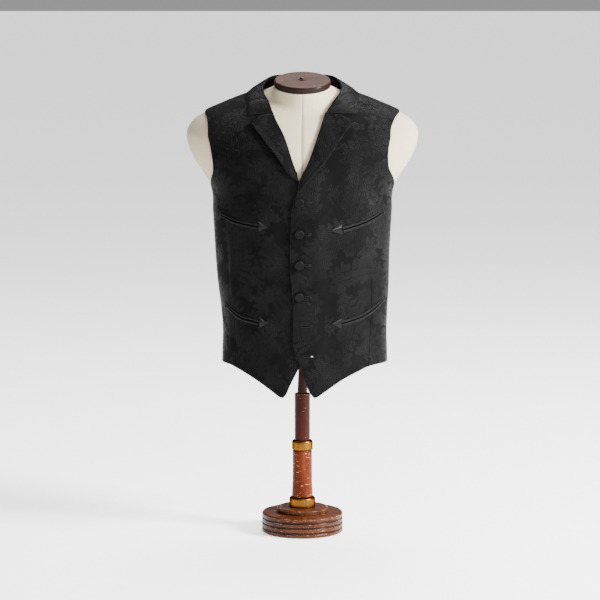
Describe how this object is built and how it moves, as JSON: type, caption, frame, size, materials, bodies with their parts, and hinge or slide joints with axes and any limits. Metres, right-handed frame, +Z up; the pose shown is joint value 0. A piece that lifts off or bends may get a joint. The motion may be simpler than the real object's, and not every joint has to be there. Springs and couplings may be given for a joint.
{
  "type": "waistcoat on a dress form",
  "caption": "Single-breasted black damask waistcoat with notched lapels and piped pockets, worn by a limbless dress form on a turned wooden stand.",
  "frame": {"origin": "centre of the stand base's underside, on the floor", "axes": "+Z up the stand, the waistcoat's front faces -Y, and the wearer's left is +X"},
  "size_m": [0.485, 0.2509, 0.9797],
  "materials": {
    "damask": "black tone-on-tone damask, satin figure on a ribbed ground",
    "satin": "black satin piping and twist",
    "lining": "plain black back cloth",
    "linen": "natural linen cover of the form",
    "dark_wood": "dark stained, varnished, chipped edges",
    "red_wood": "mahogany stain under worn varnish",
    "cap_wood": "dull, faded stain",
    "brass": "polished, slightly tarnished"
  },
  "bodies": {
    "root": {"front_left": "damask", "front_right": "damask", "back_left": "lining", "back_right": "lining", "lapel_left": "damask", "lapel_right": "damask", "collar": "damask", "button_1": "damask", "button_2": "damask", "button_3": "damask", "button_4": "damask", "button_5": "damask", "button_6": "damask", "pocket_chest_left_arrowhead": "satin", "pocket_chest_left_tack": "satin", "pocket_chest_left_welt_lower": "satin", "pocket_chest_left_welt_upper": "satin", "pocket_chest_right_arrowhead": "satin", "pocket_chest_right_tack": "satin", "pocket_chest_right_welt_lower": "satin", "pocket_chest_right_welt_upper": "satin", "pocket_waist_left_arrowhead": "satin", "pocket_waist_left_tack": "satin", "pocket_waist_left_welt_lower": "satin", "pocket_waist_left_welt_upper": "satin", "pocket_waist_right_arrowhead": "satin", "pocket_waist_right_tack": "satin", "pocket_waist_right_welt_lower": "satin", "pocket_waist_right_welt_upper": "satin", "form_torso": "linen", "neck_cap": "cap_wood", "neck_bolt": "dark_wood", "stand_base": "dark_wood", "stand_disc": "dark_wood", "lower_ferrule": "brass", "lower_post": "red_wood", "upper_ferrule": "brass", "middle_post": "red_wood", "upper_post": "dark_wood"}
  },
  "joints": []
}
